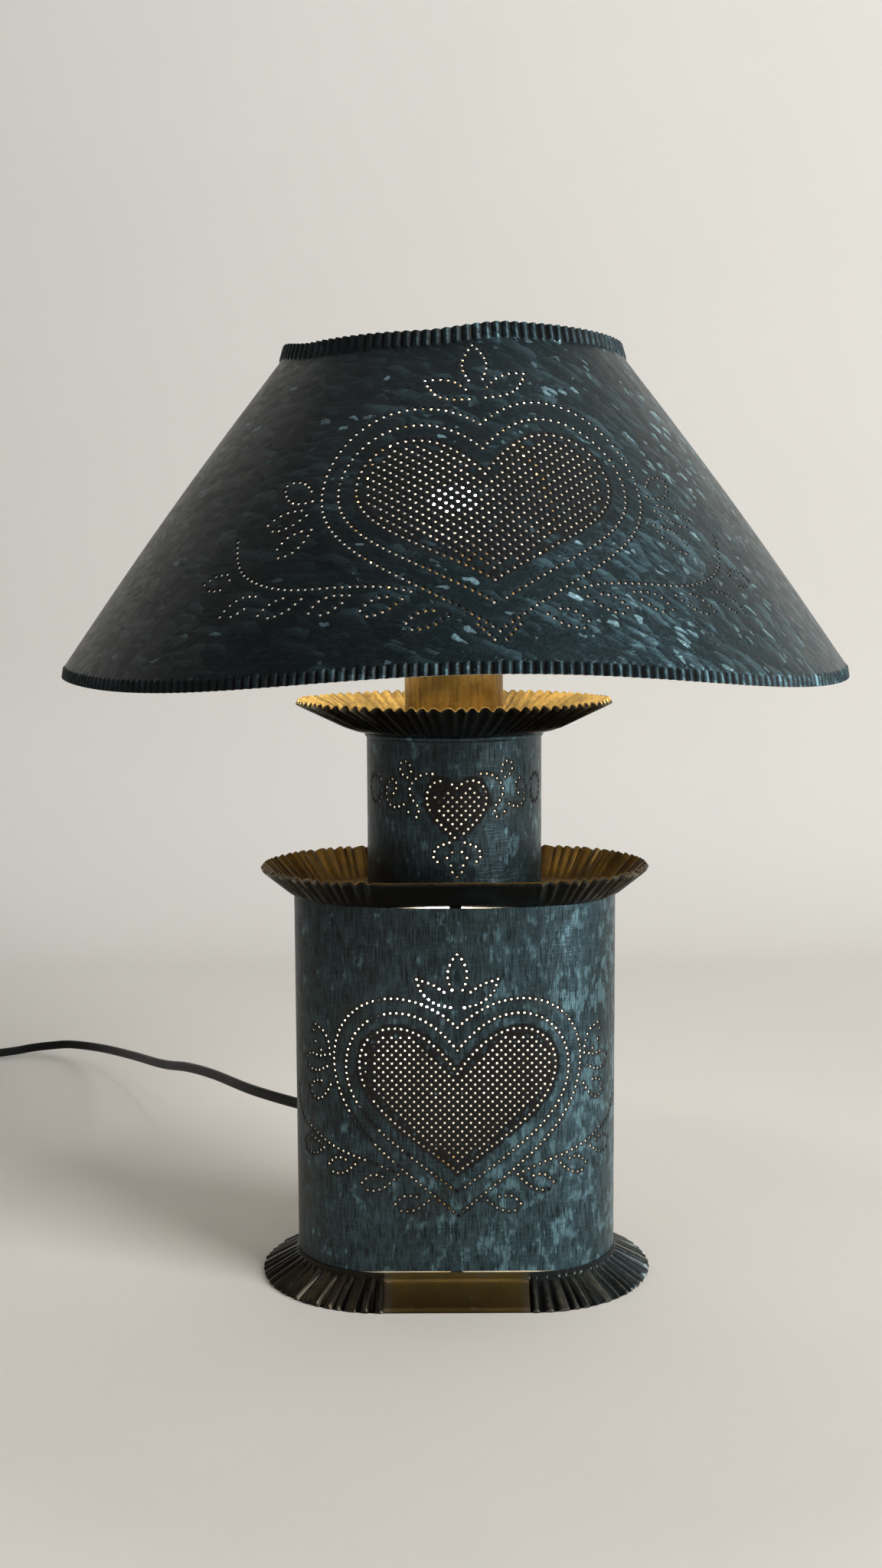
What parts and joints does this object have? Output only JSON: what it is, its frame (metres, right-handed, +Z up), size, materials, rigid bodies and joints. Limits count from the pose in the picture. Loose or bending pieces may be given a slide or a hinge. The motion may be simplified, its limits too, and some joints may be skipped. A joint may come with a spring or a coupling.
{
  "type": "table lamp",
  "caption": "Punched tin table lamp with an oval body, round neck, fluted drip pans and a wide conical shade, lit by a bulb in the shade and one in the body.",
  "frame": {"origin": "on the table under the middle of the base", "axes": "+Z up, the front with the large heart faces -Y, +X to the viewer's right"},
  "size_m": [0.6184, 0.6365, 0.4754],
  "materials": {
    "body_tin": "dark blue-grey blued tin with fine upright streaks and pale patches",
    "shade_tin": "dark blue-grey galvanised tin with bright flakes",
    "pan_tin": "brown-black tin, brassy where worn",
    "brass": "satin brass",
    "steel": "plated steel",
    "bulb_glass": "frosted glass, lit warm white",
    "black_plastic": "matt black",
    "cord_rubber": "black cord sheath with a slight sheen",
    "card": "brown card"
  },
  "bodies": {
    "stand": {"base_flange": "pan_tin", "base_plate": "pan_tin", "base_tabs": "pan_tin", "body_shell": "body_tin", "top_tabs": "pan_tin", "lower_pan": "pan_tin", "neck_tube": "body_tin", "upper_pan": "pan_tin", "candle_tube": "pan_tin", "candle_cap": "pan_tin", "lamp_pipe": "brass", "lock_nuts": "brass", "lock_washer": "steel", "harp_saddle": "brass", "harp_sleeves": "brass", "harp": "brass", "harp_stud": "brass", "socket_cap": "brass", "socket_core": "black_plastic", "socket_screw": "steel", "socket_liner": "card", "socket_shell": "brass", "socket_strap": "steel", "strap_screws": "steel", "strap_nuts": "steel", "lower_pipe": "brass", "lower_cap": "brass", "lower_core": "black_plastic", "lower_screw": "steel", "lower_shell": "brass", "cord_eyelet": "cord_rubber", "cord_lead": "cord_rubber", "splice_cap": "black_plastic", "lower_lead": "cord_rubber", "upper_lead": "cord_rubber", "cord_run": "cord_rubber", "cord_coil": "cord_rubber", "cord_tie": "black_plastic", "plug_body": "black_plastic", "plug_blades": "brass"},
    "shade": {"shade_shell": "shade_tin", "shade_washer": "brass", "shade_arms": "brass"},
    "finial": {"finial": "brass"},
    "switch": {"switch_shaft": "brass", "switch_knob": "black_plastic"},
    "bulb": {"bulb_base": "steel", "bulb_glass": "bulb_glass"},
    "lower_bulb": {"lower_bulb_base": "steel", "lower_bulb_glass": "bulb_glass"}
  },
  "joints": [
    {"name": "shade_swivel", "type": "hinge", "parent": "stand", "child": "shade", "pos_m": [0, 0, 0.4494], "axis": [0, 0, 1], "continuous": true},
    {"name": "finial_turn", "type": "hinge", "parent": "stand", "child": "finial", "pos_m": [0, 0, 0.4514], "axis": [0, 0, 1], "continuous": true},
    {"name": "switch_turn", "type": "hinge", "parent": "stand", "child": "switch", "pos_m": [0, -0.028, 0.3404], "axis": [0, -1, 0], "continuous": true},
    {"name": "bulb_turn", "type": "hinge", "parent": "stand", "child": "bulb", "pos_m": [0, 0, 0.36], "axis": [0, 0, 1], "continuous": true},
    {"name": "lower_bulb_turn", "type": "hinge", "parent": "stand", "child": "lower_bulb", "pos_m": [-0.006, 0, 0.1], "axis": [0, 0, 1], "continuous": true}
  ]
}
